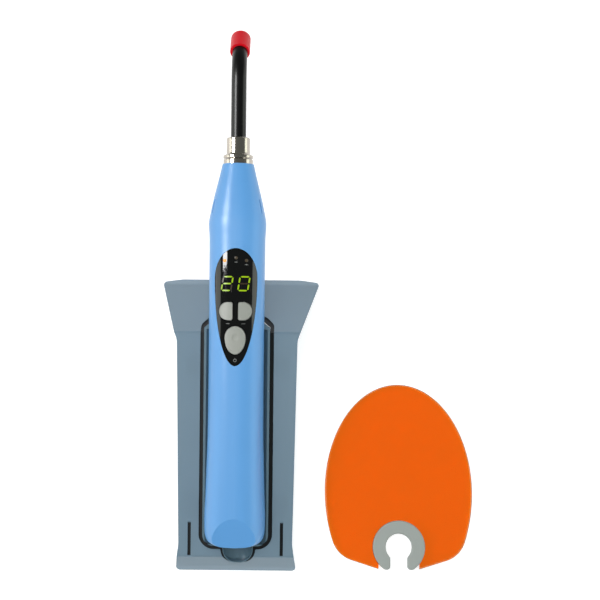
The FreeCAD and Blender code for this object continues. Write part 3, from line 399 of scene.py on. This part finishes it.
DIGIT_WIDTH = 5.0          # between the centres of the upright segments
DIGIT_HEIGHT = 7.1         # between the centres of the top and bottom segments
DIGIT_SLANT = 0.16
SEGMENT_HALF = 0.38
SEGMENT_GAP = 0.32         # from a segment's tip to the corner it points at
SEGMENT_TIP_HALF = 0.02
SEGMENT_LIFT = 0.02        # height of a segment's underside over the lens
SEGMENT_THICK = 0.05
BACKING_LIFT = 0.005
BACKING_THICK = 0.012
BACKINGS = (               # each strip's two ends and its half-width
    ((5.2, 133.2), (5.2, 138.6), 2.4),
    ((-3.6, 133.4), (-3.6, 137.2), 1.5),
)
DIGIT_MIDDLE_Y = 138.1
DIGITS = ((-4.4, "abged"), (4.25, "abcdef"))
SEGMENTS = {               # each segment's two ends, in half-widths and half-heights
    "a": ((-1, 1), (1, 1)),
    "b": ((1, 1), (1, 0)),
    "c": ((1, 0), (1, -1)),
    "d": ((1, -1), (-1, -1)),
    "e": ((-1, -1), (-1, 0)),
    "f": ((-1, 0), (-1, 1)),
    "g": ((-1, 0), (1, 0)),
}


def make_digits(surface):
    lit = ([], [])
    unlit = ([], [])
    for centre, shown in DIGITS:
        for segment, ends in SEGMENTS.items():
            points = []
            for across, up in ends:
                y = up * DIGIT_HEIGHT / 2
                x = centre + across * DIGIT_WIDTH / 2 + y * DIGIT_SLANT
                points.append(Vector((x, DIGIT_MIDDLE_Y + y)))
            gap = (points[1] - points[0]).normalized() * SEGMENT_GAP
            path = straight(points[0] + gap, points[1] - gap, 8)
            length = (points[1] - points[0]).length - 2 * SEGMENT_GAP
            widths = []
            for i in range(len(path)):
                from_end = min(i, len(path) - 1 - i) / (len(path) - 1) * length
                widths.append(max(SEGMENT_TIP_HALF, min(SEGMENT_HALF, from_end)))
            group = lit if segment in shown else unlit
            ribbon(*group, surface, path, widths, SEGMENT_LIFT, SEGMENT_THICK)
    mesh_piece("lit_digit_segments", *lit, glow("lime_segments", (168, 208, 8), 0.85), "handpiece")
    dark = plastic("unlit_segments", (54, 40, 20), 0.3)
    mesh_piece("unlit_digit_segments", *unlit, dark, "handpiece")
    backing = ([], [])
    for start, end, half in BACKINGS:
        path = straight(start, end)
        ribbon(*backing, surface, path, [half] * len(path), BACKING_LIFT, BACKING_THICK)
    mesh_piece("digit_backing", *backing, plastic("brown_backing", (44, 33, 27), 0.3), "handpiece")


LAMPS = ((-5.8, 150.0), (0.2, 151.4), (5.5, 150.1))
LAMP_RADIUS = 0.85
LAMP_FOOT = 0.02           # height of the lamp cap's edge over the lens
LAMP_DOME = 0.22
LAMP_RINGS = 5
LAMP_SIDES = 20


def lamp_cap(surface, x, y):
    """Vertices and faces of a small closed dome on the panel at (x, y)."""
    vertices = []
    faces = []
    for k in range(LAMP_RINGS):
        rise = math.pi / 2 * k / LAMP_RINGS
        r = LAMP_RADIUS * math.cos(rise)
        lift = LAMP_FOOT + LAMP_DOME * math.sin(rise)
        for i in range(LAMP_SIDES):
            a = 2 * math.pi * i / LAMP_SIDES
            vertices.append(surface(x + r * math.cos(a), y + r * math.sin(a), lift))
    top = len(vertices)
    vertices.append(surface(x, y, LAMP_FOOT + LAMP_DOME))
    vertices.append(surface(x, y, 0.0))
    for k in range(LAMP_RINGS - 1):
        low = k * LAMP_SIDES
        high = low + LAMP_SIDES
        for i in range(LAMP_SIDES):
            j = (i + 1) % LAMP_SIDES
            faces.append((low + i, low + j, high + j, high + i))
    last = top - LAMP_SIDES
    for i in range(LAMP_SIDES):
        j = (i + 1) % LAMP_SIDES
        faces.append((last + i, last + j, top))
        faces.append((j, i, top + 1))
    return vertices, faces


def make_lamps(surface):
    materials = (
        ("status_lamp_lit", glow("lit_amber", (255, 140, 30), 1.6)),
        ("status_lamp_middle", plastic("unlit_lamp", (72, 60, 44), 0.3)),
        ("status_lamp_right", plastic("unlit_lamp_right", (72, 60, 44), 0.3)),
    )
    for (x, y), (name, material) in zip(LAMPS, materials):
        piece = mesh_piece(name, *lamp_cap(surface, x, y), material, "handpiece")
        for polygon in piece.data.polygons:
            polygon.use_smooth = True


PRINT_LIFT = 0.01
PRINT_THICK = 0.02


def make_panel_marks(surface):
    """Plain printed marks: a tick under each lamp, and generic symbols by the buttons."""
    vertices = []
    faces = []

    def stroke(path, half=0.09):
        ribbon(vertices, faces, surface, path, [half] * len(path), PRINT_LIFT, PRINT_THICK)

    for x, y in LAMPS:
        stroke(straight((x - 0.9, y - 2.2), (x + 0.9, y - 2.2)))
        stroke(straight((x, y - 2.6), (x, y - 1.8)))
    stroke(ring_path(0.0, 98.6, 0.75, 120.0, 420.0))
    stroke(straight((0.0, 98.9), (0.0, 99.7)), 0.1)
    stroke(straight((-4.9, 117.4), (-2.9, 117.4)))
    stroke(straight((3.1, 117.4), (5.1, 117.4)))
    mesh_piece("panel_marks", vertices, faces, plastic("pale_print", (150, 152, 150), 0.5), "handpiece")


# ------------------------------------------------------------------ build
make_camera()
make_stage()
dress_handpiece()
dress_stand()
dress_shield()
panel = panel_surface()
make_digits(panel)
make_lamps(panel)
make_panel_marks(panel)
